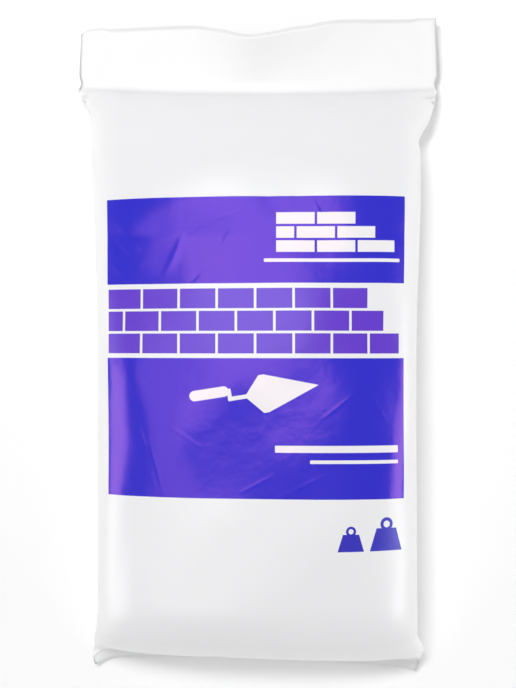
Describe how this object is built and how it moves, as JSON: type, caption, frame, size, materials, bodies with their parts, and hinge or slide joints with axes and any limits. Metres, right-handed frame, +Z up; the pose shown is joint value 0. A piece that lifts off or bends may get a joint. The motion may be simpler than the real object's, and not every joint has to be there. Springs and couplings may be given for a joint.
{
  "type": "cement bag",
  "caption": "Small flat pillow bag of cement in white plastic film, welded at both ends, with a loose flap at the head.",
  "frame": {"origin": "middle of the bag's footprint on the floor it lies on, at the lowest point of its underside", "axes": "+Z up, out of the printed face; +Y along the bag from its foot to the flap at its head; +X to the right of the printed face as it is read"},
  "size_m": [0.24, 0.4368, 0.0637],
  "materials": {
    "white_film": "glossy white polyethylene film with a violet-blue printed panel",
    "cement_powder": "matt grey powder"
  },
  "bodies": {
    "root": {"film_bag": "white_film", "cement_fill": "cement_powder"}
  },
  "joints": []
}
